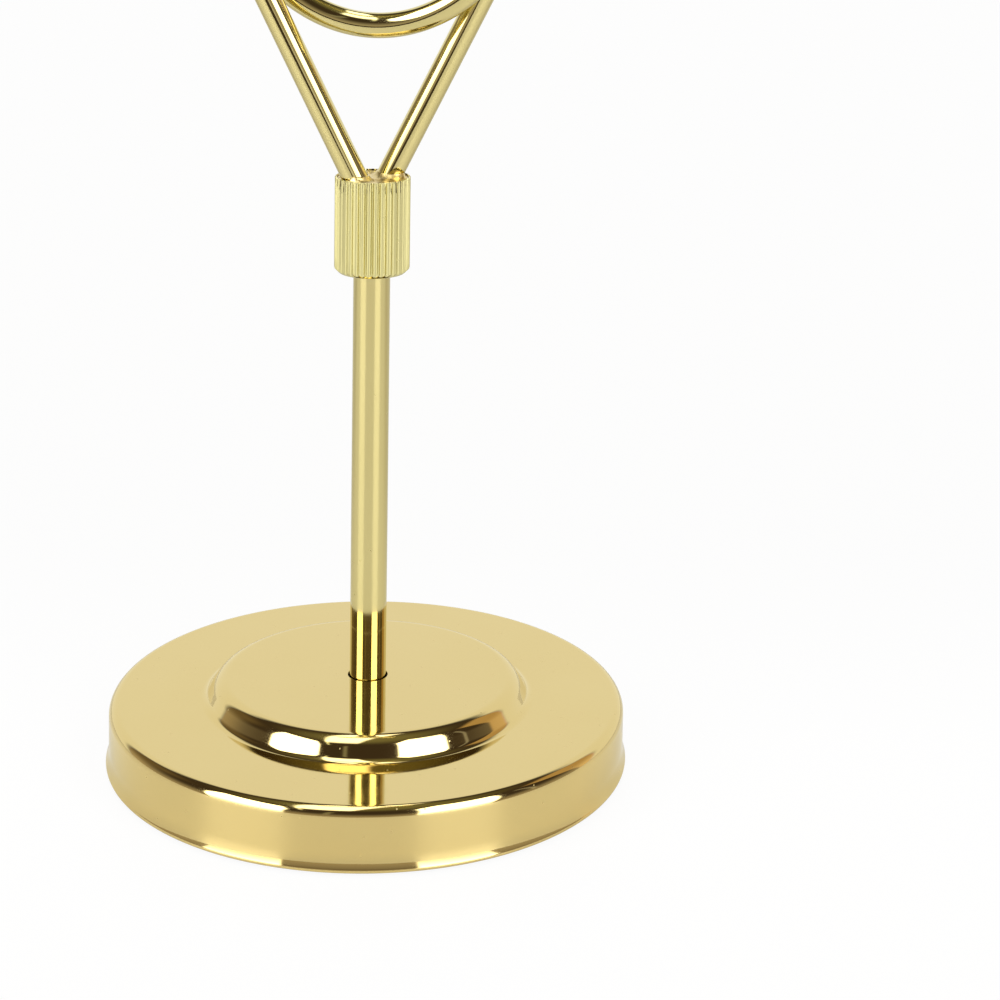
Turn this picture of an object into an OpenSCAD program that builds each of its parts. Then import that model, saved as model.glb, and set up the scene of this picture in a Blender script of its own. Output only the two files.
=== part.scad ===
// Place card holder: a wire clip of two ring turns on a round weighted base.
// Origin at the centre of the underside, +Z up, all lengths in millimetres.
// The card stands in the slot between the two turns and faces along Y.

/* [Overall] */
// Height from the table to the top of the ring
total_h = 101.6; // [98:0.1:112]

/* [Base shell] */
// Diameter across the flared foot of the shell
base_d = 50.8; // [47:0.1:60]
// Height of the flat deck above the table
deck_h = 6.25; // [5.6:0.05:8]
// Thickness of the stamped sheet
sheet_t = 0.6; // [0.4:0.05:0.75]
// Outer radius of the bend between deck and wall
edge_r = 1; // [0.8:0.05:1.5]
// How far the foot stands out past the wall
flare_out = 0.3; // [0.2:0.02:0.6]
// Height of the flared stretch of the wall
flare_h = 1.8; // [1.5:0.1:2.8]
// Gap between the table and the lip of the shell
lip_gap = 0.3; // [0.1:0.05:0.5]
// Radius of the rounded lip
lip_r = 0.33; // [0.26:0.01:0.4]

/* [Boss] */
// Diameter of the flat top of the boss
boss_flat_d = 27.1; // [24:0.1:29]
// Height of the boss above the deck
boss_rise = 2; // [1.9:0.05:2.6]
// Outer radius of the rounded shoulder
shoulder_r = 1.75; // [1.5:0.05:2]
// Radius of the hollow at the foot of the boss
boss_foot_r = 0.95; // [0.7:0.05:1.2]
// Slope of the side of the boss away from upright, in degrees
boss_draft = 32; // [28:1:36]

/* [Stem] */
// Diameter of the stem
stem_d = 3.55; // [3.3:0.05:4]
// Diameter of the threaded ends
thread_d = 3; // [2.6:0.05:3.1]
// Width of the dark ring between the stem and the hole in the boss
stem_hole_gap = 0.25; // [0.1:0.05:0.5]

/* [Collar] */
// Diameter over the crests of the flutes
collar_d = 7.25; // [7:0.05:8]
// Height of the collar
collar_h = 9.3; // [9:0.1:11]
// Number of flutes
flute_count = 36; // [24:1:40]
// Depth of one flute
flute_depth = 0.22; // [0.12:0.02:0.26]
// Bevel round the lower edge of the collar
collar_bevel = 0.4; // [0.2:0.05:0.5]
// Bevel round the upper edge of the collar
rim_bevel = 0.06; // [0.02:0.02:0.1]
// Diameter of the socket that holds the feet of the wire
socket_d = 6.2; // [6.1:0.05:6.4]
// Depth of the socket below the rim
socket_depth = 4.6; // [4:0.1:5]
// Diameter of the mouth of the socket at the rim
mouth_d = 7; // [6.94:0.02:7.04]
// Depth of the widened mouth
mouth_depth = 0.9; // [0.7:0.1:1.5]
// Length of the stem's upper thread inside the collar
upper_thread_h = 3; // [2.4:0.1:3.2]
// Depth of the plain bore that takes the full stem
guide_depth = 0.8; // [0.5:0.1:1]

/* [Clip] */
// Diameter of the wire
wire_d = 2.45; // [2.1:0.05:2.5]
// Diameter of the ring, from wire centre to wire centre
ring_d = 27.9; // [24:0.1:30]
// Width of the slot between the two turns, for the card
card_gap = 0.35; // [0.3:0.05:0.6]
// How far the crossing turn is drawn in beside each leg
cross_tuck = 0.2; // [0.15:0.05:0.4]
// How long the wire keeps to its side before it crosses over, where 0 is an even swing
cross_hold_share = 0.4; // [0.3:0.05:0.45]
// Height from the rim of the collar up to the centre of the ring
leg_rise = 28.5; // [26:0.1:33]
// Distance of each leg from the axis at the rim of the collar
leg_x = 1.55; // [1.4:0.05:1.65]
// Distance of each foot from the axis, down in the socket
foot_x = 1; // [0.8:0.05:1.1]
// Gap between the two feet, front to back
foot_gap = 0.1; // [0.05:0.05:0.2]
// Radius of the bend from foot to leg, at the wire centre
bend_r = 2.6; // [2:0.1:3]
// How far the solder round the feet stops short of the rim
solder_gap = 0.3; // [0.2:0.1:0.5]
// Number of flat sides round the wire
wire_sides = 16; // [12:4:24]
// Number of steps in a full turn of the ring
turn_steps = 64; // [48:4:80]
// Number of steps in the bend from foot to leg
bend_steps = 4; // [2:1:6]

/* [Weight and pad] */
// Thickness of the pad under the base
pad_t = 1.5; // [1.2:0.1:1.8]
// Bevel round the edges of the pad
pad_bevel = 0.2; // [0.1:0.05:0.4]
// Gap between the pad and the wall of the shell
pad_gap = 0.5; // [0.3:0.05:0.8]
// Rounding of the weight's upper edge
weight_edge = 0.8; // [0.6:0.1:1.2]
// How far the top of the hub stops short of the edge of the boss's flat top
hub_margin = 1; // [0.6:0.1:2]
// How much wider the hub is at its foot, per side
hub_taper = 0.6; // [0.3:0.1:1]
// Gap above the hub
hub_gap = 0.1; // [0.05:0.05:0.2]
// Diameter of the recess for washer and nut
recess_d = 8.4; // [8:0.1:10]

/* [Nut and washer] */
// Width of the nut across its flats
nut_af = 5.5; // [5:0.1:6]
// Height of the nut
nut_h = 2.4; // [2:0.1:2.6]
// Bevel on the corners of the nut
nut_bevel = 0.3; // [0.2:0.05:0.4]
// Outer diameter of the washer
washer_d = 7; // [6.4:0.1:7.6]
// Thickness of the washer
washer_t = 0.5; // [0.4:0.05:0.6]
// Length of thread that stands past the nut
thread_tail = 0.3; // [0.1:0.05:0.4]

/* [Fits] */
// Radial clearance where the collar turns on the stem, and between fitted inner pieces
fit_gap = 0.05; // [0.03:0.01:0.08]
// Radial clearance of the stem in the weight and the washer, and of the legs in the solder
bolt_gap = 0.1; // [0.06:0.02:0.14]
// Bevel on the ends of the threads
thread_bevel = 0.3; // [0.1:0.05:0.4]

/* [Hidden] */
$fn = 96;

gold = [0.87, 0.8, 0.57];
iron = [0.33, 0.33, 0.35];
zinc = [0.7, 0.71, 0.72];
tin = [0.78, 0.76, 0.72];
foam = [0.08, 0.08, 0.09];

// Length by which cutting tools run past a face
overrun = wire_d;

// Radii and heights of the shell
wall_r = base_d / 2 - flare_out;
boss_top = deck_h + boss_rise;
// The side of the boss runs straight between two rounds: its shoulder and the hollow at its foot
shoulder_centre = [boss_flat_d / 2, boss_top - shoulder_r];
side_run = (shoulder_r + boss_foot_r - (shoulder_r + boss_foot_r - boss_rise) * sin(boss_draft))
    / cos(boss_draft);
foot_centre = [shoulder_centre[0] + side_run, deck_h + boss_foot_r];
side_normal = [cos(boss_draft), sin(boss_draft)];
// The wall flares along an arc to the middle of the lip
flare_top = lip_gap + flare_h;
lip_centre = [base_d / 2 - lip_r, lip_gap + lip_r];
flare_run = lip_centre[0] - wall_r + sheet_t / 2;
flare_fall = flare_top - lip_centre[1];
flare_mid_r = (pow(flare_fall, 2) + pow(flare_run, 2)) / (2 * flare_run);
flare_centre = [wall_r - sheet_t / 2 + flare_mid_r, flare_top];

// The ring and the collar hang from the stated height
wire_r = wire_d / 2;
ring_r = ring_d / 2;
ring_z = total_h - wire_r - ring_r;
rim_z = ring_z - leg_rise;
collar_z = rim_z - collar_h;
socket_z = rim_z - socket_depth;

// Levels of the stem and what holds it
hub_z = boss_top - sheet_t - hub_gap;
recess_h = washer_t + nut_h + thread_tail + fit_gap;
recess_z = pad_t + recess_h;
stem_bottom = pad_t + fit_gap;
guide_z = collar_z + guide_depth;
stem_top = guide_z + upper_thread_h;

// The two turns, and the legs that run up from the rim of the collar to touch the ring
turn_y = (wire_d + card_gap) / 2;
foot_y = (wire_d + foot_gap) / 2;
leg_angle = asin(ring_r / norm([leg_x, leg_rise])) - atan(leg_x / leg_rise);
leg_top_z = ring_z - ring_r * sin(leg_angle);
knee_z = rim_z - (leg_x - foot_x) / tan(leg_angle);
bend_z = knee_z - bend_r * tan(leg_angle / 2);

// Flutes: round cuts that nearly meet at the crests
flute_width_share = 0.46;
flute_r = flute_width_share * PI * collar_d / flute_count;

// Half of the solid that the shell encloses, seen in section and drawn in by a given depth
module shell_outline(inset) {
    square([wall_r - edge_r, deck_h - inset]);
    square([wall_r - inset, deck_h - edge_r]);
    translate([wall_r - edge_r, deck_h - edge_r]) circle(r = edge_r - inset);
    square([shoulder_centre[0], boss_top - inset]);
    translate(shoulder_centre) circle(r = shoulder_r - inset);
    boss_side(inset);
    outer_corner(foot_centre, boss_foot_r + inset, boss_draft);
    outer_corner(flare_centre, flare_mid_r - sheet_t / 2 + inset, 0);
}

// The core of the boss below the straight stretch of its side
module boss_side(inset) {
    upper = shoulder_centre + (shoulder_r - inset) * side_normal;
    lower = foot_centre - (boss_foot_r + inset) * side_normal;
    polygon([[0, 0], [lower[0], 0], lower, upper, [0, upper[1]]]);
}

// The block from the axis to a round hollow, up to where a slope away from upright meets it
module outer_corner(centre, hollow_r, slope) {
    difference() {
        square([centre[0], centre[1] - hollow_r * sin(slope)]);
        translate(centre) circle(r = hollow_r);
    }
}

// Half of the shell's section: an even sheet with a rounded lip and a hole for the stem
module shell_section() {
    difference() {
        shell_outline(0);
        shell_outline(sheet_t);
        square([base_d, lip_centre[1]]);
        square([stem_d / 2 + stem_hole_gap, boss_top + overrun]);
    }
    translate(lip_centre) circle(r = lip_r);
}

// Stamped round shell with a raised boss, plated all over
module base_shell() {
    color(gold) rotate_extrude() shell_section();
}

// Cast disc that fills the shell, with a hub under the boss and a recess for the nut
module base_weight() {
    weight_r = wall_r - sheet_t - fit_gap;
    weight_top = deck_h - sheet_t;
    hub_r = shoulder_centre[0] - hub_margin;
    bore_r = thread_d / 2 + bolt_gap;
    color(iron)
        rotate_extrude()
            difference() {
                union() {
                    translate([0, pad_t]) square([weight_r, weight_top - weight_edge - pad_t]);
                    translate([0, pad_t]) square([weight_r - weight_edge, weight_top - pad_t]);
                    translate([weight_r - weight_edge, weight_top - weight_edge])
                        circle(r = weight_edge);
                    polygon([
                        [0, pad_t],
                        [hub_r + hub_taper, pad_t],
                        [hub_r + hub_taper, weight_top],
                        [hub_r, hub_z],
                        [0, hub_z]
                    ]);
                }
                translate([-overrun, 0]) square([overrun + bore_r, hub_z + overrun]);
                translate([-overrun, 0]) square([overrun + recess_d / 2, recess_z]);
            }
}

// Soft pad glued under the weight; the holder stands on it
module foot_pad() {
    pad_r = wall_r - sheet_t - pad_gap;
    color(foam)
        rotate_extrude()
            polygon([
                [0, 0],
                [pad_r - pad_bevel, 0],
                [pad_r, pad_bevel],
                [pad_r, pad_t - pad_bevel],
                [pad_r - pad_bevel, pad_t],
                [0, pad_t]
            ]);
}

// Round stem with a reduced thread at each end
module stem() {
    body_r = stem_d / 2;
    thread_r = thread_d / 2;
    color(gold)
        rotate_extrude()
            polygon([
                [0, stem_bottom],
                [thread_r - thread_bevel, stem_bottom],
                [thread_r, stem_bottom + thread_bevel],
                [thread_r, hub_z],
                [body_r, hub_z],
                [body_r, guide_z - fit_gap],
                [thread_r, guide_z - fit_gap],
                [thread_r, stem_top - thread_bevel],
                [thread_r - thread_bevel, stem_top],
                [0, stem_top]
            ]);
}

// Plain washer against the web of the weight
module stem_washer() {
    color(zinc)
        translate([0, 0, recess_z - washer_t])
            difference() {
                cylinder(d = washer_d, h = washer_t);
                translate([0, 0, -overrun])
                    cylinder(r = thread_d / 2 + bolt_gap, h = washer_t + 2 * overrun);
            }
}

// Six-sided nut that pulls the stem down on the weight
module stem_nut() {
    corner_r = nut_af / 2 / cos(30);
    color(zinc)
        translate([0, 0, recess_z - washer_t - nut_h])
            difference() {
                intersection() {
                    cylinder(r = corner_r, h = nut_h, $fn = 6);
                    rotate_extrude()
                        polygon([
                            [0, 0],
                            [corner_r - nut_bevel, 0],
                            [corner_r, nut_bevel],
                            [corner_r, nut_h - nut_bevel],
                            [corner_r - nut_bevel, nut_h],
                            [0, nut_h]
                        ]);
                }
                translate([0, 0, -overrun])
                    cylinder(r = thread_d / 2 + fit_gap, h = nut_h + 2 * overrun);
            }
}

// Outline of the fluted collar, seen from above
module collar_outline() {
    cut_at = collar_d / 2 + flute_r - flute_depth;
    difference() {
        circle(d = collar_d);
        for (i = [0 : flute_count - 1])
            rotate(i * 360 / flute_count)
                translate([cut_at, 0])
                    circle(r = flute_r, $fn = 24);
    }
}

// Fluted collar: the feet of the wire stand in its socket, the stem screws in from below
module collar() {
    outer_r = collar_d / 2;
    color(gold)
        translate([0, 0, collar_z])
            difference() {
                intersection() {
                    linear_extrude(collar_h) collar_outline();
                    rotate_extrude()
                        polygon([
                            [0, 0],
                            [outer_r - collar_bevel, 0],
                            [outer_r, collar_bevel],
                            [outer_r, collar_h - rim_bevel],
                            [outer_r - rim_bevel, collar_h],
                            [0, collar_h]
                        ]);
                }
                collar_bores();
            }
}

// Socket with its widened mouth above, guide bore and tapping bore below
module collar_bores() {
    translate([0, 0, collar_h - socket_depth])
        cylinder(d = socket_d, h = socket_depth + overrun);
    translate([0, 0, collar_h - mouth_depth])
        cylinder(d1 = socket_d, d2 = mouth_d, h = mouth_depth);
    translate([0, 0, -overrun])
        cylinder(r = stem_d / 2 + fit_gap, h = guide_depth + overrun);
    translate([0, 0, -overrun])
        cylinder(r = thread_d / 2 + fit_gap, h = stem_top - collar_z + fit_gap + overrun);
}

// Solder that fills the socket round the two feet
module solder_fill() {
    solder_h = socket_depth - solder_gap;
    reach = (bend_r + wire_r + fit_gap) * tan(leg_angle / 2);
    color(tin)
        difference() {
            translate([0, 0, socket_z]) cylinder(d = socket_d - 2 * fit_gap, h = solder_h);
            for (turn = [0, 180])
                rotate(turn) {
                    wire_room(0, fit_gap, socket_depth, reach);
                    wire_room(leg_angle, bolt_gap, reach, socket_depth);
                }
        }
}

// Room for the wire, straight below and above the point of its bend that has a given slope
module wire_room(slope, gap, below, above) {
    translate([foot_x + bend_r * (1 - cos(slope)), foot_y, bend_z + bend_r * sin(slope)])
        rotate([0, slope, 0])
            translate([0, 0, -below])
                cylinder(r = wire_r + gap, h = below + above);
}

// Centre line of the turns: over the top in front, under to the back, over the top again.
// The angle falls as the wire runs, and between 0 and -180 degrees it crosses over.
function crosses(angle) = angle < 0 && angle > -180;
function turn_radius(angle) = ring_r - (crosses(angle) ? cross_tuck * pow(sin(2 * angle), 2) : 0);
function turn_side(angle) =
    crosses(angle) ? -turn_y * cos(angle) * (1 + cross_hold_share * pow(sin(angle), 2))
    : angle >= 0 ? -turn_y
    : turn_y;
function turn_point(angle) = [
    turn_radius(angle) * cos(angle),
    turn_side(angle),
    ring_z + turn_radius(angle) * sin(angle)
];
function turn_route() =
    let(sweep = 540 + 2 * leg_angle, steps = ceil(turn_steps * sweep / 360))
    [for (i = [0 : steps]) turn_point(180 + leg_angle - i * sweep / steps)];

// Centre line of the right foot and its bend; the leg runs on straight to the turns
function lean(z) = foot_y + (turn_y - foot_y) * (z - bend_z) / (leg_top_z - bend_z);
function foot_route() = concat(
    [[foot_x, foot_y, socket_z]],
    [for (i = [0 : bend_steps])
        let(
            angle = leg_angle * i / bend_steps,
            z = bend_z + bend_r * sin(angle)
        )
        [foot_x + bend_r * (1 - cos(angle)), lean(z), z]
    ]
);

function half_turned(route) = [for (p = route) [-p[0], -p[1], p[2]]];
function reversed(route) = [for (i = [1 : len(route)]) route[len(route) - i]];
function wire_route() = concat(half_turned(foot_route()), turn_route(), reversed(foot_route()));

// Round sections square to the route, each with the same number of corners
function unit(v) = v / norm(v);
function heading(route, i) =
    unit(route[min(i + 1, len(route) - 1)] - route[max(i - 1, 0)]);
function section(centre, along) =
    let(
        side = unit([0, 1, 0] - along[1] * along),
        above = cross(along, side)
    )
    [for (k = [0 : wire_sides - 1])
        let(angle = 360 * k / wire_sides)
        centre + wire_r * (cos(angle) * side + sin(angle) * above)
    ];

// A round tube along a route, closed at both ends
module tube(route) {
    last = len(route) - 1;
    points = [for (i = [0 : last]) each section(route[i], heading(route, i))];
    walls = [for (i = [0 : last - 1], k = [0 : wire_sides - 1])
        let(
            next = (k + 1) % wire_sides,
            low = i * wire_sides,
            high = low + wire_sides
        )
        each [
            [low + k, high + k, high + next],
            [low + k, high + next, low + next]
        ]
    ];
    start_cap = [[for (k = [0 : wire_sides - 1]) k]];
    end_cap = [[for (k = [1 : wire_sides]) (last + 1) * wire_sides - k]];
    polyhedron(points = points, faces = concat(walls, start_cap, end_cap));
}

// Least gap between the crossing turn and the two legs, measured on points along them
function crossing_points() = [for (i = [1 : turn_steps - 1]) turn_point(-180 * i / turn_steps)];
function leg_points() =
    let(low = foot_route()[bend_steps + 1], high = turn_point(-360 - leg_angle))
    [for (i = [0 : turn_steps]) low + (high - low) * i / turn_steps];
function least_gap() =
    let(right_leg = leg_points(), legs = concat(right_leg, half_turned(right_leg)))
    min([for (a = crossing_points(), b = legs) norm(a - b)]) - wire_d;

// One wire bent into two ring turns that stand one behind the other, on two legs
module clip_wire() {
    echo(least_gap_of_wire = least_gap());
    color(gold) tube(wire_route());
}

base_shell();
base_weight();
foot_pad();
stem();
stem_washer();
stem_nut();
collar();
solder_fill();
clip_wire();
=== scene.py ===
"""Place card holder: the looks of a gold plated wire clip on a weighted round base."""

import math

import bmesh
import bpy
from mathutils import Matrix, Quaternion, Vector


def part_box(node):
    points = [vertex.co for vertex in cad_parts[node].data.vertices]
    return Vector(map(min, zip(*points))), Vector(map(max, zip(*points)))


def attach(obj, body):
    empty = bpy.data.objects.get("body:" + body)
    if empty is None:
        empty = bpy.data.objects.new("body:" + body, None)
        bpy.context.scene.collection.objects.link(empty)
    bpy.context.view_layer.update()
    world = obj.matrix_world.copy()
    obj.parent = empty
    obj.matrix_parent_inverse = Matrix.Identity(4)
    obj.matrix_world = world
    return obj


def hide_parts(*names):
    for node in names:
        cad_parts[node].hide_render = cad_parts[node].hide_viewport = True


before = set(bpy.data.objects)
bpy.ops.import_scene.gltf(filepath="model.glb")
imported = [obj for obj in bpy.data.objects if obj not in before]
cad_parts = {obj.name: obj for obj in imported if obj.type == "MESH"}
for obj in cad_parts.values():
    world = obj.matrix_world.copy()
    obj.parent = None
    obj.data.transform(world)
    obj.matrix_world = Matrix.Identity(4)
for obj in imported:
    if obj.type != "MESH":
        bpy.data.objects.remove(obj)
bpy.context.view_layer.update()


# Camera
# It stands about 0.23 m in front of the holder and looks down on it. The photograph is the
# lower part of a taller picture, so the middle of the lens lies above the middle of the frame.
# The camera rolls a little, as the holder leans in the photograph.
frame_px = 1000
focal_px = 2457.4
lens_middle_px = -17.4
camera_at = Vector((0.020911, -0.230487, 0.104928))
camera_down, camera_left, camera_roll = math.radians(6.951), math.radians(2.246), math.radians(0.94)
camera_data = bpy.data.cameras.new("camera")
camera_data.sensor_width = 36
camera_data.lens = camera_data.sensor_width * focal_px / frame_px
camera_data.shift_y = (lens_middle_px - frame_px / 2) / frame_px
camera_data.clip_start = 0.01
camera_data.clip_end = 20
camera = bpy.data.objects.new("camera", camera_data)
camera.location = camera_at
camera.rotation_mode = "QUATERNION"
camera_aim = Vector((-math.sin(camera_left) * math.cos(camera_down),
                     math.cos(camera_left) * math.cos(camera_down), -math.sin(camera_down)))
level_aim = camera_aim.to_track_quat("-Z", "Y")
camera.rotation_quaternion = level_aim @ Quaternion((0, 0, 1), camera_roll)
bpy.context.scene.collection.objects.link(camera)
bpy.context.scene.camera = camera
bpy.context.scene.view_settings.view_transform = "Standard"


# Studio
# Two tall lamps stand left and right of the camera and one hangs overhead, with a weaker strip
# beside it. Behind the holder a white backdrop curves up. The rest of the room is dark, with two
# thin grey stands and brown walls far to the sides, and lighter low down and at the ceiling.
white = (1, 1, 1, 1)


def add(tree, kind, inputs=None, **settings):
    """A node with its settings, each input set to a value or joined to another node's output."""
    made = tree.nodes.new(kind)
    for name, value in settings.items():
        setattr(made, name, value)
    for name, value in (inputs or {}).items():
        if isinstance(value, bpy.types.NodeSocket):
            tree.links.new(value, made.inputs[name])
        else:
            made.inputs[name].default_value = value
    return made


def maths(tree, operation, first, second=0.0):
    """The outcome of one sum on one or two numbers or sockets."""
    return add(tree, "ShaderNodeMath", {0: first, 1: second}, operation=operation).outputs[0]


def step_up(tree, value, at, soft):
    """0 below a level and 1 above it, with a soft edge."""
    inputs = {"Value": value, "From Min": at - soft, "From Max": at + soft}
    stepped = add(tree, "ShaderNodeMapRange", inputs, interpolation_type="SMOOTHSTEP")
    return stepped.outputs["Result"]


def mix_colours(tree, share, first, second):
    """A colour between two. In a colour Mix node, inputs 6 and 7 are the colours and output 2 is
    the outcome."""
    return add(tree, "ShaderNodeMix", {0: share, 6: first, 7: second}, data_type="RGBA").outputs[2]


def brighter(before, colour, share):
    """The room's light with a share of one more light added."""
    lit = add(room, "ShaderNodeVectorMath", {0: colour, "Scale": share}, operation="SCALE")
    total = add(room, "ShaderNodeVectorMath", {0: before, 1: lit.outputs["Vector"]}, operation="ADD")
    return total.outputs["Vector"]


world = bpy.data.worlds.new("studio")
bpy.context.scene.world = world
world.use_nodes = True
room = world.node_tree
room.nodes.clear()
direction = add(room, "ShaderNodeTexCoord").outputs["Generated"]
part_of = add(room, "ShaderNodeSeparateXYZ", {"Vector": direction}).outputs
azimuth = maths(room, "DEGREES", maths(room, "ARCTAN2", part_of["X"],
                                       maths(room, "MULTIPLY", part_of["Y"], -1.0)))
elevation = maths(room, "DEGREES", maths(room, "ARCSINE", part_of["Z"]))


def panel(tree, toward, bearing, height, edges):
    """1 in the directions that meet a flat panel and 0 elsewhere. The panel's middle is at a
    bearing and a height in degrees. Each edge is where a share of the way across and a share of
    the way up the panel, as tangents, add up to a level, and it has a softness."""
    az, el = math.radians(bearing), math.radians(height)
    ahead = (math.sin(az) * math.cos(el), -math.cos(az) * math.cos(el), math.sin(el))
    across = (math.cos(az), math.sin(az), 0)
    above = (-math.sin(az) * math.sin(el), math.cos(az) * math.sin(el), math.cos(el))
    parts = []
    for axis in (ahead, across, above):
        dot = add(tree, "ShaderNodeVectorMath", {0: toward, 1: axis}, operation="DOT_PRODUCT")
        parts.append(dot.outputs["Value"])
    least_depth = 0.001
    depth = maths(tree, "MAXIMUM", parts[0], least_depth)
    x, y = maths(tree, "DIVIDE", parts[1], depth), maths(tree, "DIVIDE", parts[2], depth)
    met = maths(tree, "GREATER_THAN", parts[0], 0.0)
    for x_share, y_share, level, soft in edges:
        along = maths(tree, "MULTIPLY", x, x_share), maths(tree, "MULTIPLY", y, y_share)
        past = step_up(tree, maths(tree, "ADD", *along), level, soft)
        met = maths(tree, "MULTIPLY", met, maths(tree, "SUBTRACT", 1.0, past))
    return met


# Each panel: bearing and height of its middle, its light, its edges
lamp_light, overhead_light, strip_light = (5.0, 5.0, 5.0), (3.0, 3.0, 3.0), (1.2, 1.25, 1.0)
panels = {
    "left_lamp": (-50, 20, lamp_light, (
        (-1, -0.2, 0.3, 0.018), (1, 0.2, 0.335, 0.018), (1, 0.54, 0.455, 0.018), (0.31, 1, 0.7, 0.04),
        (0, -1, 0.25, 0.35))),
    "right_lamp": (48.5, 20, lamp_light, (
        (-1, 0.24, 0.362, 0.018), (1, -0.24, 0.25, 0.018), (-1.2, 1, 0.92, 0.018), (0.6, 1, 1.08, 0.15),
        (0, -1, 0.25, 0.35))),
    "overhead_lamp": (0, 90, overhead_light, (
        (-1, 0.25, 0.26, 0.02), (1, -0.1, 0.015, 0.025), (0, -1, 0.5, 0.14), (0, 1, 0.6, 0.025))),
    "overhead_strip": (0, 90, strip_light, (
        (-1, 0.25, 0.26, 0.012), (1, -0.25, -0.225, 0.012), (0, -1, 0.95, 0.03), (0, 1, -0.3, 0.05))),
    "middle_stand": (-12, 30, (0.25, 0.25, 0.2), (
        (-1, 0, 0.02, 0.012), (1, 0, 0.02, 0.012), (0, 1, 0.25, 0.06), (0, -1, 0.2, 0.06))),
    "far_stand": (85, 35, (0.3, 0.3, 0.3), (
        (-1, 0.2, 0.02, 0.012), (1, -0.2, 0.02, 0.012), (0, 1, 0.2, 0.012), (0, -1, 0.4, 0.012))),
    "right_wall": (114, 20, (0.55, 0.37, 0.17), (
        (-1, 0, 0.14, 0.03), (1, 0, 0.3, 0.06), (0, 1, 0.6, 0.08), (0, -1, 0.6, 0.06))),
    "left_wall": (-108, 20, (0.12, 0.09, 0.045), (
        (-1, 0, 0.4, 0.18), (1, 0, 0.1, 0.18), (0, 1, 0.45, 0.18), (0, -1, 0.6, 0.18))),
}
room_light = (0.062, 0.044, 0.03)
light = room_light
# Each glow: height in degrees where it starts and its softness, the same where it ends, its light
glows = {"horizon": (-4, 2, 14, 20, (0.45, 0.4, 0.33)), "ceiling": (66, 16, 200, 20, (0.18, 0.18, 0.08))}
for bottom, bottom_soft, top, top_soft, glow_light in glows.values():
    glow = maths(room, "MULTIPLY", step_up(room, elevation, bottom, bottom_soft),
                 maths(room, "SUBTRACT", 1.0, step_up(room, elevation, top, top_soft)))
    light = brighter(light, glow_light, glow)
for bearing, height, panel_light, edges in panels.values():
    met = panel(room, direction, bearing, height, edges)
    light = brighter(light, panel_light, met)
backdrop_from, backdrop_lean, backdrop_top, backdrop_soft, backdrop_light = 111.5, 0.58, 45, 5, 1.06
side = maths(room, "SUBTRACT", maths(room, "ABSOLUTE", azimuth),
             maths(room, "MULTIPLY", maths(room, "MAXIMUM", elevation, 0.0), backdrop_lean))
behind = maths(room, "MULTIPLY", step_up(room, side, backdrop_from, backdrop_soft),
               maths(room, "SUBTRACT", 1.0, step_up(room, elevation, backdrop_top, backdrop_soft)))
behind = maths(room, "MULTIPLY", behind, backdrop_light)
light = add(room, "ShaderNodeVectorMath", {0: light, 1: behind}, operation="MAXIMUM").outputs["Vector"]
rays = add(room, "ShaderNodeLightPath").outputs
seen = mix_colours(room, rays["Is Camera Ray"], light, white)
sky = add(room, "ShaderNodeBackground", {"Color": seen, "Strength": 1.0})
add(room, "ShaderNodeOutputWorld", {"Surface": sky.outputs["Background"]})


# Floor
# A plain white table top, with painted shade behind the holder: its colour there is a darker
# grey that stands in for less light. Left of the camera it ends, and the wire mirrors the dark
# room there. To the camera it is lifted most of the way to the white of the backdrop, in the
# plating a little, and it keeps a soft shadow.
def new_material(name):
    """An empty node material and its tree."""
    made = bpy.data.materials.new(name)
    made.use_nodes = True
    made.node_tree.nodes.clear()
    return made, made.node_tree


def link_object(name, mesh):
    """An object in the scene for a mesh."""
    made = bpy.data.objects.new(name, mesh)
    bpy.context.scene.collection.objects.link(made)
    return made


floor_reach, floor_front, floor_corner = 2.5, 0.28, 0.02
# The far colour is painted shade: a darker grey for the table behind the holder.
floor_white, far_painted_shade = (0.74, 0.735, 0.72, 1), (0.48, 0.47, 0.45, 1)
far_from, far_soft, far_lift = 0.03, 0.04, 0.5
camera_lift, mirror_lift = 0.94, 0.25
floor_paint, tree = new_material("floor_white")
rays = add(tree, "ShaderNodeLightPath").outputs
place = add(tree, "ShaderNodeTexCoord").outputs["Object"]
back = add(tree, "ShaderNodeSeparateXYZ", {"Vector": place}).outputs["Y"]
# Painted shade: behind the holder the floor's colour turns to the darker grey, and its lift in the
# plating drops, in place of less light there.
far = step_up(tree, back, far_from, far_soft)
paper_and_painted_shade = mix_colours(tree, far, floor_white, far_painted_shade)
near_share = maths(tree, "SUBTRACT", 1.0, maths(tree, "MULTIPLY", far, far_lift))
glossy_lift = maths(tree, "MULTIPLY", rays["Is Glossy Ray"], mirror_lift)
mirrored = maths(tree, "MULTIPLY", glossy_lift, near_share)
lift = maths(tree, "MAXIMUM", maths(tree, "MULTIPLY", rays["Is Camera Ray"], camera_lift), mirrored)
matt = add(tree, "ShaderNodeBsdfPrincipled", {"Base Color": paper_and_painted_shade, "Roughness": 0.34, "IOR": 1.38})
glow = add(tree, "ShaderNodeEmission", {"Color": white, "Strength": 1.0})
mixed = add(tree, "ShaderNodeMixShader", {0: lift, 1: matt.outputs[0], 2: glow.outputs[0]})
add(tree, "ShaderNodeOutputMaterial", {"Surface": mixed.outputs[0]})
floor_mesh = bpy.data.meshes.new("floor")
corners = [(-floor_reach, -floor_front, 0), (floor_corner, -floor_front, 0),
           (floor_corner, -floor_reach, 0), (floor_reach, -floor_reach, 0),
           (floor_reach, floor_reach, 0), (-floor_reach, floor_reach, 0)]
floor_mesh.from_pydata(corners, [], [(0, 1, 2, 3, 4, 5)])
floor_mesh.materials.append(floor_paint)
floor = link_object("floor", floor_mesh)


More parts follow.
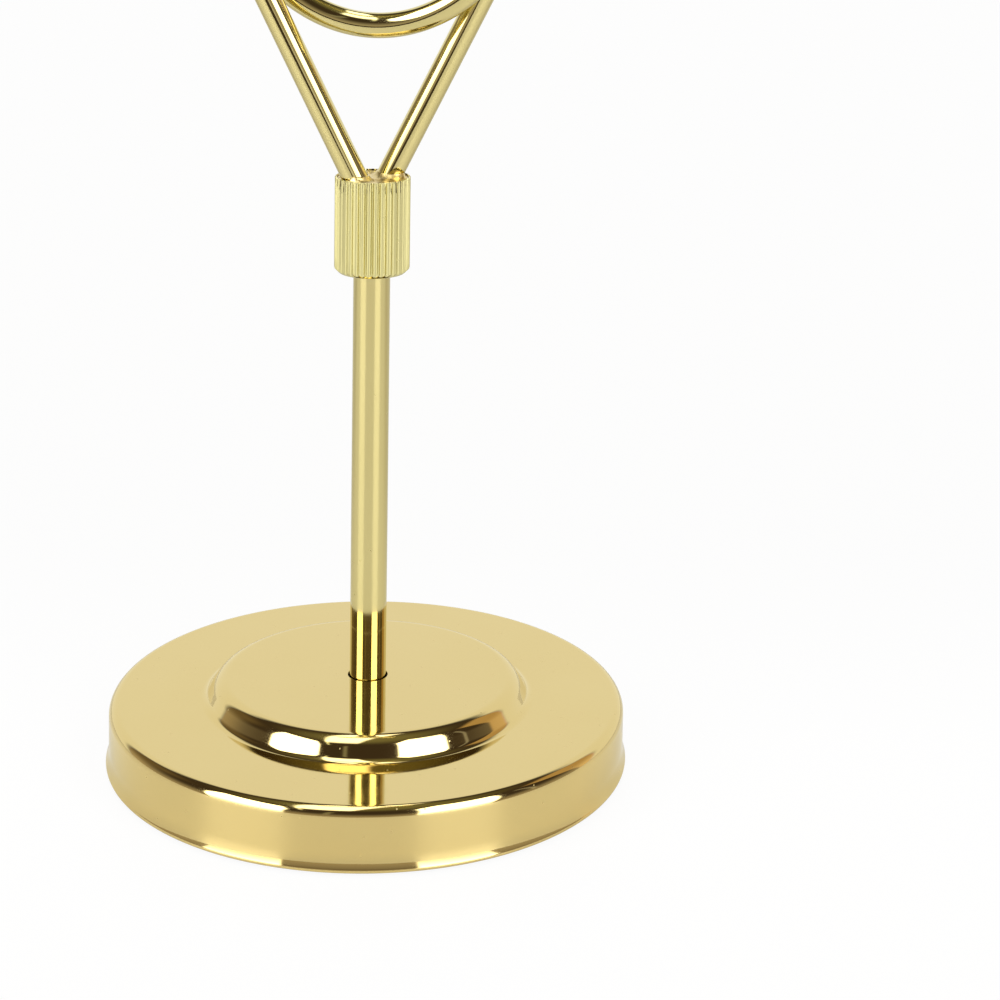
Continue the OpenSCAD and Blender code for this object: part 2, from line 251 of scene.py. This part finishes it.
# Base shell
# A stamped steel shell with a raised boss and a rolled lip, gold plated all over. It drops
# over the cast weight, and the stem clamps it at the boss.
def arc(centre, radius, start, end, steps):
    """Points along an arc of an outline. Angles are in degrees, 0 outward and 90 up."""
    angles = [math.radians(start + (end - start) * i / steps) for i in range(steps + 1)]
    return [(centre[0] + radius * math.cos(a), centre[1] + radius * math.sin(a)) for a in angles]


def supported(outline, closed):
    """The outline with a point added on each long stretch near a short one, so that the flat
    stays flat when the faces are shaded smooth."""
    count = len(outline)
    times_longer = 4
    points = []
    for i in range(count if closed else count - 1):
        a, b = Vector(outline[i]), Vector(outline[(i + 1) % count])
        before = (a - Vector(outline[i - 1])).length if closed or i > 0 else math.inf
        after = (Vector(outline[(i + 2) % count]) - b).length if closed or i + 2 < count else math.inf
        length = (b - a).length
        points.append(a)
        if length > times_longer * before:
            points.append(a.lerp(b, before / length))
        if length > times_longer * after:
            points.append(b.lerp(a, after / length))
    return points if closed else points + [Vector(outline[-1])]


def smooth(mesh, crease):
    """Shades a mesh smooth but for the edges that bend by more than the crease, in degrees."""
    mesh.shade_smooth()
    mesh.set_sharp_from_angle(angle=math.radians(crease))


turned_crease, fine_crease = 35, 50


def turned(name, outline, sides, closed=True):
    """A round piece made by turning an outline of radius and height about the stem's axis."""
    mesh = bpy.data.meshes.new(name)
    work = bmesh.new()
    rings = []
    on_axis = 1e-9
    for radius, height in supported(outline, closed):
        if radius < on_axis:
            rings.append([work.verts.new((0, 0, height))] * sides)
            continue
        turn = [2 * math.pi * k / sides for k in range(sides)]
        spots = [(radius * math.cos(a), radius * math.sin(a), height) for a in turn]
        rings.append([work.verts.new(spot) for spot in spots])
    pairs = list(zip(rings, rings[1:] + rings[:1])) if closed else list(zip(rings, rings[1:]))
    for low, high in pairs:
        for k in range(sides):
            ring = [low[k - 1], low[k], high[k], high[k - 1]]
            work.faces.new(list(dict.fromkeys(ring)))
    bmesh.ops.recalc_face_normals(work, faces=work.faces)
    work.to_mesh(mesh)
    work.free()
    smooth(mesh, turned_crease)
    return link_object(name, mesh)


def dress(piece, material, body, slot, *nodes):
    """Gives a piece its material and its body, and hides the CAD nodes that it stands for. The slot is
    not used.
    """
    piece.data.materials.clear()
    piece.data.materials.append(material)
    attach(piece, body)
    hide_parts(*nodes)


def gold_plating(name, pale, deep, slant):
    """Thin gold over bright nickel: almost a mirror, with a faint ripple from the polishing
    wheel, a slight haze and a few specks of dust. Seen aslant it takes a third tint."""
    plating, tree = new_material(name)
    place = add(tree, "ShaderNodeTexCoord").outputs["Object"]
    drift = add(tree, "ShaderNodeTexNoise", {"Vector": place, "Scale": 90, "Detail": 2})
    tone = mix_colours(tree, drift.outputs["Fac"], deep, pale)
    haze = add(tree, "ShaderNodeTexNoise", {"Vector": place, "Scale": 260, "Detail": 4, "Roughness": 0.6})
    rough = add(tree, "ShaderNodeMapRange", {
        "Value": haze.outputs["Fac"], "From Min": 0.3, "From Max": 0.7, "To Min": 0.05, "To Max": 0.08})
    specks = add(tree, "ShaderNodeTexVoronoi", {"Vector": place, "Scale": 700, "Randomness": 1.0})
    speck_size, speck_soft, speck_rough = 0.07, 0.02, 0.25
    clean = step_up(tree, specks.outputs["Distance"], speck_size, speck_soft)
    dusty = maths(tree, "SUBTRACT", 1.0, clean)
    rough_all = maths(tree, "ADD", rough.outputs["Result"], maths(tree, "MULTIPLY", dusty, speck_rough))
    ripple = add(tree, "ShaderNodeTexNoise", {"Vector": place, "Scale": 320, "Detail": 1})
    rippled = add(tree, "ShaderNodeBump",
                  {"Height": ripple.outputs["Fac"], "Strength": 1.0, "Distance": 0.000004})
    shader = add(tree, "ShaderNodeBsdfPrincipled", {
        "Base Color": tone, "Metallic": 1.0, "Roughness": rough_all,
        "Specular Tint": slant, "Normal": rippled.outputs["Normal"]})
    add(tree, "ShaderNodeOutputMaterial", {"Surface": shader.outputs[0]})
    return plating


# The stamped shell comes from one bath, the stem and wire from a greener one. The collar's gold
# is paler: partly its own tint, partly painted light that lifts the dark orange of the reflections
# between its flutes.
shell_gold = gold_plating("gold_plate_shell",
                          (0.69, 0.55, 0.24, 1), (0.67, 0.525, 0.215, 1), (1, 1, 0.92, 1))
rod_gold = gold_plating("gold_plate_rod",
                        (0.67, 0.585, 0.27, 1), (0.64, 0.55, 0.24, 1), (1, 1, 0.96, 1))
# The collar's paler gold is partly its own tint and partly painted light against the dark orange of the
# reflections between its flutes.
collar_gold_tint_and_lift = gold_plating("gold_plate_collar_tint_and_lift",
                           (0.69, 0.635, 0.31, 1), (0.66, 0.605, 0.28, 1), (1, 1, 0.94, 1))

shell_lo, shell_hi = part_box("base_shell")
base_r, lip_z, boss_z = shell_hi.x, shell_lo.z, shell_hi.z
sheet = 0.0006
deck_z = 0.00625
edge_r = 0.001
flare_out, flare_h = 0.0003, 0.0018
lip_r = 0.00033
lip_begin, lip_end = 20, 160
shoulder_r, boss_foot_r = 0.00175, 0.00095
shoulder_at = (0.01355, boss_z - shoulder_r)
boss_draft = 32
both_rounds = shoulder_r + boss_foot_r
draft_sin, draft_cos = math.sin(math.radians(boss_draft)), math.cos(math.radians(boss_draft))
side_run = (both_rounds - (both_rounds - boss_z + deck_z) * draft_sin) / draft_cos
foot_at = (shoulder_at[0] + side_run, deck_z + boss_foot_r)
stem_hole_r = 0.00193
hole_round = 0.00008
wall_r = base_r - flare_out
lip_at = (base_r - lip_r, lip_z + lip_r)
flare_top = lip_z + flare_h
flare_run = lip_at[0] - wall_r + sheet / 2
flare_fall = flare_top - lip_at[1]
flare_r = (flare_fall ** 2 + flare_run ** 2) / (2 * flare_run)
flare_at = (wall_r - sheet / 2 + flare_r, flare_top)
flare_turn = math.degrees(math.asin(flare_fall / flare_r))
outside = (
    [(stem_hole_r, boss_z - sheet)]
    + arc((stem_hole_r + hole_round, boss_z - hole_round), hole_round, 180, 90, 4)
    + arc(shoulder_at, shoulder_r, 90, boss_draft, 24)
    + arc(foot_at, boss_foot_r, 180 + boss_draft, 270, 16)
    + arc((wall_r - edge_r, deck_z - edge_r), edge_r, 90, 0, 20)
    + arc(flare_at, flare_r - sheet / 2, 180, 180 + flare_turn, 20)
    + arc(lip_at, lip_r, flare_turn - lip_begin, flare_turn - lip_end, 16)
)
inside = (
    arc(flare_at, flare_r + sheet / 2, 180 + flare_turn, 180, 16)
    + arc((wall_r - edge_r, deck_z - edge_r), edge_r - sheet, 0, 90, 10)
    + arc(foot_at, boss_foot_r + sheet, 270, 180 + boss_draft, 10)
    + arc(shoulder_at, shoulder_r - sheet, boss_draft, 90, 12)
)
base_shell = turned("base_shell_plated", outside + inside, sides=320)
dress(base_shell, shell_gold, "stand", "gold_plate", "base_shell")


# Weight
# A disc of grey cast iron with a hub under the boss. Its recess takes the washer and the nut.
iron, tree = new_material("cast_iron")
place = add(tree, "ShaderNodeTexCoord").outputs["Object"]
grain = add(tree, "ShaderNodeTexNoise", {"Vector": place, "Scale": 1400, "Detail": 5, "Roughness": 0.65})
rust = add(tree, "ShaderNodeTexNoise", {"Vector": place, "Scale": 160, "Detail": 3})
rust_share = add(tree, "ShaderNodeMapRange", {
    "Value": rust.outputs["Fac"], "From Min": 0.55, "From Max": 0.8, "To Max": 0.5})
iron_grey, rust_brown = (0.115, 0.115, 0.125, 1), (0.16, 0.1, 0.07, 1)
iron_tone = mix_colours(tree, rust_share.outputs["Result"], iron_grey, rust_brown)
iron_rough = add(tree, "ShaderNodeMapRange", {
    "Value": grain.outputs["Fac"], "To Min": 0.45, "To Max": 0.75})
cast_skin = add(tree, "ShaderNodeBump", {
    "Height": grain.outputs["Fac"], "Strength": 0.6, "Distance": 0.00012})
iron_shader = add(tree, "ShaderNodeBsdfPrincipled", {
    "Base Color": iron_tone, "Metallic": 0.7, "Roughness": iron_rough.outputs["Result"],
    "Normal": cast_skin.outputs["Normal"]})
add(tree, "ShaderNodeOutputMaterial", {"Surface": iron_shader.outputs[0]})

weight_lo, weight_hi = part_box("base_weight")
weight_r = weight_hi.x
weight_z = deck_z - sheet
weight_edge = 0.0008
hub_top_inset, hub_foot_inset = 0.001, 0.0004
hub_top_r, hub_foot_r = shoulder_at[0] - hub_top_inset, shoulder_at[0] - hub_foot_inset
bolt_hole_r, recess_r, recess_z = 0.0016, 0.0042, 0.00475
cast_round = 0.0003
hub_slant = 5
weight = turned("cast_weight", (
    arc((weight_r - cast_round, weight_lo.z + cast_round), cast_round, -90, 0, 4)
    + arc((weight_r - weight_edge, weight_z - weight_edge), weight_edge, 0, 90, 8)
    + [(hub_foot_r, weight_z)]
    + arc((hub_top_r - cast_round, weight_hi.z - cast_round), cast_round, hub_slant, 90, 4)
    + [(bolt_hole_r, weight_hi.z), (bolt_hole_r, recess_z), (recess_r, recess_z)]
    + arc((recess_r + cast_round, weight_lo.z + cast_round), cast_round, 180, 270, 4)
), sides=128)
dress(weight, iron, "stand", "cast_iron", "base_weight")


# Foot pad
# A die-cut disc of black foam, glued under the weight. It stands a little proud of the lip,
# so the holder rests on foam and doesn't scratch the table.
foam, tree = new_material("black_foam")
place = add(tree, "ShaderNodeTexCoord").outputs["Object"]
cells = add(tree, "ShaderNodeTexVoronoi", {"Vector": place, "Scale": 2600}, feature="SMOOTH_F1")
nap = add(tree, "ShaderNodeTexNoise", {"Vector": place, "Scale": 900, "Detail": 4})
foam_black, nap_grey = (0.018, 0.018, 0.02, 1), (0.045, 0.045, 0.048, 1)
foam_tone = mix_colours(tree, nap.outputs["Fac"], foam_black, nap_grey)
pores = add(tree, "ShaderNodeBump", {
    "Height": cells.outputs["Distance"], "Strength": 0.7, "Distance": 0.00015})
foam_shader = add(tree, "ShaderNodeBsdfPrincipled", {
    "Base Color": foam_tone, "Roughness": 0.92, "Sheen Weight": 0.15,
    "Normal": pores.outputs["Normal"]})
add(tree, "ShaderNodeOutputMaterial", {"Surface": foam_shader.outputs[0]})

pad_lo, pad_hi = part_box("foot_pad")
pad_round = 0.0003
pad = turned("foam_pad", (
    [(0, pad_lo.z)]
    + arc((pad_hi.x - pad_round, pad_lo.z + pad_round), pad_round, -90, 0, 6)
    + arc((pad_hi.x - pad_round, pad_hi.z - pad_round), pad_round, 0, 90, 6)
    + [(0, pad_hi.z)]
), closed=False, sides=160)
dress(pad, foam, "stand", "foam", "foot_pad")


# Washer and nut
# Zinc plated steel. The nut pulls the stem down, so that its shoulder rests on the weight's
# hub and the weight, washer and stem are one.
zinc, tree = new_material("zinc_plate")
place = add(tree, "ShaderNodeTexCoord").outputs["Object"]
spangle = add(tree, "ShaderNodeTexVoronoi", {"Vector": place, "Scale": 1800})
zinc_blue, zinc_pale = (0.6, 0.62, 0.64, 1), (0.7, 0.7, 0.69, 1)
zinc_tone = mix_colours(tree, spangle.outputs["Distance"], zinc_blue, zinc_pale)
zinc_rough = add(tree, "ShaderNodeMapRange", {
    "Value": spangle.outputs["Distance"], "To Min": 0.25, "To Max": 0.42})
zinc_shader = add(tree, "ShaderNodeBsdfPrincipled", {
    "Base Color": zinc_tone, "Metallic": 1.0, "Roughness": zinc_rough.outputs["Result"]})
add(tree, "ShaderNodeOutputMaterial", {"Surface": zinc_shader.outputs[0]})
for name in ("stem_washer", "stem_nut"):
    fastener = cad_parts[name]
    fastener.data.materials.clear()
    fastener.data.materials.append(zinc)


# Stem
# A turned rod, gold plated, with a thread at each end: the lower one takes the nut and the
# upper one the collar.
stem_lo, stem_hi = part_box("stem")
stem_r = stem_hi.x
thread_r, thread_bevel = 0.0015, 0.0003
upper_thread_h, upper_thread_gap = 0.003, 0.00005
lower_shoulder_z = weight_hi.z
upper_shoulder_z = stem_hi.z - upper_thread_h - upper_thread_gap
stem = turned("stem_rod", (
    [(0, stem_lo.z), (thread_r - thread_bevel, stem_lo.z), (thread_r, stem_lo.z + thread_bevel),
     (thread_r, lower_shoulder_z), (stem_r, lower_shoulder_z), (stem_r, upper_shoulder_z),
     (thread_r, upper_shoulder_z), (thread_r, stem_hi.z - thread_bevel),
     (thread_r - thread_bevel, stem_hi.z), (0, stem_hi.z)]
), closed=False, sides=128)
dress(stem, rod_gold, "stand", "gold_plate", "stem")


# Collar
# A short turned sleeve with flutes rolled round it, gold plated. The feet of the wire stand
# in its socket, and the stem screws in from below.
def grown(name, mesh, tree_name, build, values):
    """A piece made by Geometry Nodes from a mesh: build(tree, sockets) gives the last geometry
    socket, values are the named inputs, and the outcome is a plain mesh."""
    growth = bpy.data.node_groups.new(tree_name, "GeometryNodeTree")
    growth.interface.new_socket("Geometry", in_out="INPUT", socket_type="NodeSocketGeometry")
    growth.interface.new_socket("Geometry", in_out="OUTPUT", socket_type="NodeSocketGeometry")
    kinds = {float: "NodeSocketFloat", int: "NodeSocketInt", bpy.types.Material: "NodeSocketMaterial"}
    keys = {}
    for label, value in values.items():
        socket = growth.interface.new_socket(label, in_out="INPUT", socket_type=kinds[type(value)])
        keys[label] = socket.identifier
    given = growth.nodes.new("NodeGroupInput")
    last = build(growth, given.outputs)
    whole = add(growth, "GeometryNodeRealizeInstances", {"Geometry": last})
    plated = add(growth, "GeometryNodeSetMaterial", {
        "Geometry": whole.outputs[0], "Material": given.outputs["Material"]})
    add(growth, "NodeGroupOutput", {"Geometry": plated.outputs[0]})
    host = link_object(name + "_blank", mesh)
    modifier = host.modifiers.new(tree_name, "NODES")
    modifier.node_group = growth
    for label, value in values.items():
        modifier[keys[label]] = value
    host.update_tag()
    depsgraph = bpy.context.evaluated_depsgraph_get()
    grown_mesh = bpy.data.meshes.new_from_object(host.evaluated_get(depsgraph))
    grown_mesh.name = name
    bpy.data.objects.remove(host)
    bpy.data.node_groups.remove(growth)
    return link_object(name, grown_mesh)


collar_lo, collar_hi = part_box("collar")
flute_count = 36
flute_depth = 0.00022
flute_width_share = 0.46
collar_r = 0.003625
collar_bevel, rim_bevel = 0.0004, 0.00006
socket_r, mouth_r = 0.0031, 0.0035
socket_depth, mouth_depth = 0.0046, 0.0009
guide_r, guide_depth = 0.001825, 0.0008
tap_r = 0.00155
crest_blend = 0.000012
weld = 0.000002
columns, bevel_steps, side_steps, rim_steps = 14, 6, 8, 3
flute_r = flute_width_share * 2 * math.pi * collar_r / flute_count
flute_at = collar_r + flute_r - flute_depth


def fluted_radius(limit, angle):
    """Radius of the collar's outside at an angle from the middle of a flute."""
    across = flute_r ** 2 - (flute_at * math.sin(angle)) ** 2
    cut = flute_at * math.cos(angle) - math.sqrt(across) if across > 0 else 2 * collar_r
    share = max(0.0, min(1.0, 0.5 + (cut - limit) / (2 * crest_blend)))
    return limit * share + cut * (1 - share) - crest_blend * share * (1 - share)


side_z, side_h = collar_lo.z + collar_bevel, collar_hi.z - rim_bevel - collar_lo.z - collar_bevel
bevel_r = collar_r - collar_bevel
collar_outside = [(bevel_r + collar_bevel * k / bevel_steps, collar_lo.z + collar_bevel * k / bevel_steps)
                  for k in range(bevel_steps + 1)]
collar_outside += [(collar_r, side_z + side_h * k / side_steps) for k in range(1, side_steps + 1)]
collar_outside += [(collar_r - rim_bevel * k / rim_steps, collar_hi.z - rim_bevel * (1 - k / rim_steps))
                   for k in range(1, rim_steps + 1)]
collar_bore = [
    (mouth_r, collar_hi.z),
    (socket_r, collar_hi.z - mouth_depth),
    (socket_r, collar_hi.z - socket_depth),
    (tap_r, collar_hi.z - socket_depth),
    (tap_r, collar_lo.z + guide_depth),
    (guide_r, collar_lo.z + guide_depth),
    (guide_r, collar_lo.z),
]
half_flute = math.pi / flute_count
wedge_angles = [half_flute * (2 * k / columns - 1) for k in range(columns + 1)]
wedge_points = []
for radius, height in collar_outside:
    radii = [fluted_radius(radius, angle) for angle in wedge_angles]
    wedge_points += [(r * math.cos(a), r * math.sin(a), height) for r, a in zip(radii, wedge_angles)]
for radius, height in collar_bore:
    wedge_points += [(radius * math.cos(a), radius * math.sin(a), height) for a in wedge_angles]
rows = len(collar_outside) + len(collar_bore)
wedge_faces = [
    (row * (columns + 1) + k, row * (columns + 1) + k + 1,
     (row + 1) % rows * (columns + 1) + k + 1, (row + 1) % rows * (columns + 1) + k)
    for row in range(rows) for k in range(columns)
]
wedge = bpy.data.meshes.new("collar_wedge")
wedge.from_pydata(wedge_points, [], wedge_faces)


def ring_of_wedges(tree, given):
    """Copies of the wedge round the axis, welded into one sleeve."""
    spots = add(tree, "GeometryNodeMeshLine", {"Count": given["Flutes"]})
    spots.inputs["Offset"].default_value = (0, 0, 0)
    turn = maths(tree, "DIVIDE", 2 * math.pi, given["Flutes"])
    index = add(tree, "GeometryNodeInputIndex").outputs[0]
    angles = add(tree, "ShaderNodeCombineXYZ", {"Z": maths(tree, "MULTIPLY", index, turn)})
    turns = add(tree, "FunctionNodeEulerToRotation", {0: angles.outputs[0]})
    copies = add(tree, "GeometryNodeInstanceOnPoints", {
        "Points": spots.outputs[0], "Instance": given["Geometry"], "Rotation": turns.outputs[0]})
    whole = add(tree, "GeometryNodeRealizeInstances", {"Geometry": copies.outputs[0]})
    welded = add(tree, "GeometryNodeMergeByDistance", {
        "Geometry": whole.outputs[0], "Distance": given["Weld"]})
    return welded.outputs[0]


collar = grown("fluted_collar", wedge, "collar_flutes", ring_of_wedges,
               {"Flutes": flute_count, "Weld": weld, "Material": collar_gold_tint_and_lift})
smooth(collar.data, fine_crease)
dress(collar, collar_gold_tint_and_lift, "head", "gold_plate", "collar")


# Solder
# Tin solder, run into the socket round the feet of the wire and plated over with them. It
# creeps up the wire and the wall of the socket.
solder_lo, solder_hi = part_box("solder_fill")
pool_r = 0.00335
foot_place = (0.0016, 0.00137)
foot_half = (0.001365, 0.001225)
wall_creep, wire_creep, creep_reach, edge_reach = 0.00015, 0.00062, 0.0003, 0.0004
pool_rings, pool_sides = 44, 192


def solder_level(x, y):
    """Height of the solder's skin at a spot: level, but drawn up to the wall and the wire."""
    to_wall = pool_r - math.hypot(x, y)
    pull = 0.0
    for turn in (-1, 1):
        across = (x * turn - foot_place[0]) / foot_half[0]
        along = (y * turn - foot_place[1]) / foot_half[1]
        gap = max(0.0, math.hypot(across, along) - 1) * foot_half[1]
        pull += math.exp(-gap / creep_reach)
    share = min(1.0, to_wall / edge_reach)
    share = share * share * (3 - 2 * share)
    rise = wall_creep * math.exp(-to_wall / creep_reach) + wire_creep * min(1.0, pull) * share
    return solder_hi.z + rise


pool_mesh = bpy.data.meshes.new("solder_pool")
work = bmesh.new()
pool_turn = [2 * math.pi * k / pool_sides for k in range(pool_sides)]
rings = []
for i in range(1, pool_rings + 1):
    reach = pool_r * i / pool_rings
    spots = [(reach * math.cos(a), reach * math.sin(a)) for a in pool_turn]
    rings.append([work.verts.new((x, y, solder_level(x, y))) for x, y in spots])
for radius, height in ((solder_hi.x, collar_hi.z - mouth_depth), (solder_hi.x, solder_lo.z)):
    spots = [(radius * math.cos(a), radius * math.sin(a), height) for a in pool_turn]
    rings.append([work.verts.new(spot) for spot in spots])
for inner, outer in zip(rings, rings[1:]):
    for k in range(pool_sides):
        work.faces.new((inner[k - 1], inner[k], outer[k], outer[k - 1]))
work.faces.new(rings[-1])
top = work.verts.new((0, 0, solder_level(0, 0)))
for k in range(pool_sides):
    work.faces.new((top, rings[0][k], rings[0][k - 1]))
bmesh.ops.recalc_face_normals(work, faces=work.faces)
work.to_mesh(pool_mesh)
work.free()
smooth(pool_mesh, fine_crease)
solder = link_object("solder_pool", pool_mesh)

solder_skin, tree = new_material("plated_solder")
place = add(tree, "ShaderNodeTexCoord").outputs["Object"]
grain = add(tree, "ShaderNodeTexNoise", {"Vector": place, "Scale": 1100, "Detail": 2})
solder_rough = add(tree, "ShaderNodeMapRange", {
    "Value": grain.outputs["Fac"], "To Min": 0.24, "To Max": 0.42})
lumps = add(tree, "ShaderNodeBump", {
    "Height": grain.outputs["Fac"], "Strength": 0.8, "Distance": 0.00012})
solder_shader = add(tree, "ShaderNodeBsdfPrincipled", {
    "Base Color": (0.74, 0.6, 0.27, 1), "Metallic": 1.0, "Roughness": solder_rough.outputs["Result"],
    "Normal": lumps.outputs["Normal"]})
add(tree, "ShaderNodeOutputMaterial", {"Surface": solder_shader.outputs[0]})
dress(solder, solder_skin, "head", "solder", "solder_fill")


# Wire clip
# One hard-drawn wire, bent on a former and gold plated. It comes up from the left foot in
# front, makes one and a half turns, crosses to the back below the eye, and ends in the right
# foot.
wire_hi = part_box("clip_wire")[1]
wire_r = 0.001225
ring_r = 0.01395
card_gap, foot_gap = 0.00035, 0.0001
cross_tuck, cross_hold_share = 0.0002, 0.4
leg_x, foot_x = 0.00155, 0.001
bend_r = 0.0026
ring_z = wire_hi.z - wire_r - ring_r
turn_y = wire_r + card_gap / 2
foot_y = wire_r + foot_gap / 2
rim_z, socket_z = collar_hi.z, collar_hi.z - socket_depth
leg_rise = ring_z - rim_z
leg_lean = math.asin(ring_r / math.hypot(leg_x, leg_rise)) - math.atan(leg_x / leg_rise)
leg_top_z = ring_z - ring_r * math.sin(leg_lean)
knee_z = rim_z - (leg_x - foot_x) / math.tan(leg_lean)
bend_z = knee_z - bend_r * math.tan(leg_lean / 2)
turn_steps, bend_steps, leg_steps, wire_sides = 540, 16, 12, 48


def turn_point(angle):
    """A point on the turns. The angle falls along the wire and crosses over below the eye."""
    crossing = -math.pi < angle < 0
    radius = ring_r - (cross_tuck * math.sin(2 * angle) ** 2 if crossing else 0)
    swing = -math.cos(angle) * (1 + cross_hold_share * math.sin(angle) ** 2)
    side = swing if crossing else (-1 if angle >= 0 else 1)
    return Vector((radius * math.cos(angle), turn_y * side, ring_z + radius * math.sin(angle)))


def foot_route():
    """The right foot, its bend and its leg, from the socket up to just below the turns."""
    points = [Vector((foot_x, foot_y, socket_z))]
    for i in range(bend_steps + 1):
        angle = leg_lean * i / bend_steps
        x, z = foot_x + bend_r * (1 - math.cos(angle)), bend_z + bend_r * math.sin(angle)
        points.append(Vector((x, 0, z)))
    top = Vector((ring_r * math.cos(leg_lean), 0, leg_top_z))
    points += [points[-1].lerp(top, i / leg_steps) for i in range(1, leg_steps)]
    for point in points[1:]:
        point.y = foot_y + (turn_y - foot_y) * (point.z - bend_z) / (leg_top_z - bend_z)
    return points


right_leg = foot_route()
left_leg = [Vector((-p.x, -p.y, p.z)) for p in right_leg]
sweep = 3 * math.pi + 2 * leg_lean
turns = [turn_point(math.pi + leg_lean - sweep * i / turn_steps) for i in range(turn_steps + 1)]
wire_route = left_leg + turns + right_leg[::-1]
wire_line = bpy.data.meshes.new("wire_route")
wire_line.from_pydata(wire_route, [(i, i + 1) for i in range(len(wire_route) - 1)], [])


def swept_wire(tree, given):
    """A round section swept along the route, closed at both ends."""
    line = add(tree, "GeometryNodeMeshToCurve", {"Mesh": given["Geometry"]})
    section = add(tree, "GeometryNodeCurvePrimitiveCircle",
                  {"Resolution": given["Sides"], "Radius": given["Radius"]}, mode="RADIUS")
    tube = add(tree, "GeometryNodeCurveToMesh", {
        "Curve": line.outputs[0], "Profile Curve": section.outputs[0], "Fill Caps": True})
    return tube.outputs[0]


wire = grown("clip_wire_plated", wire_line, "clip_sweep", swept_wire,
             {"Sides": wire_sides, "Radius": wire_r, "Material": rod_gold})
smooth(wire.data, fine_crease)
dress(wire, rod_gold, "head", "gold_plate", "clip_wire")
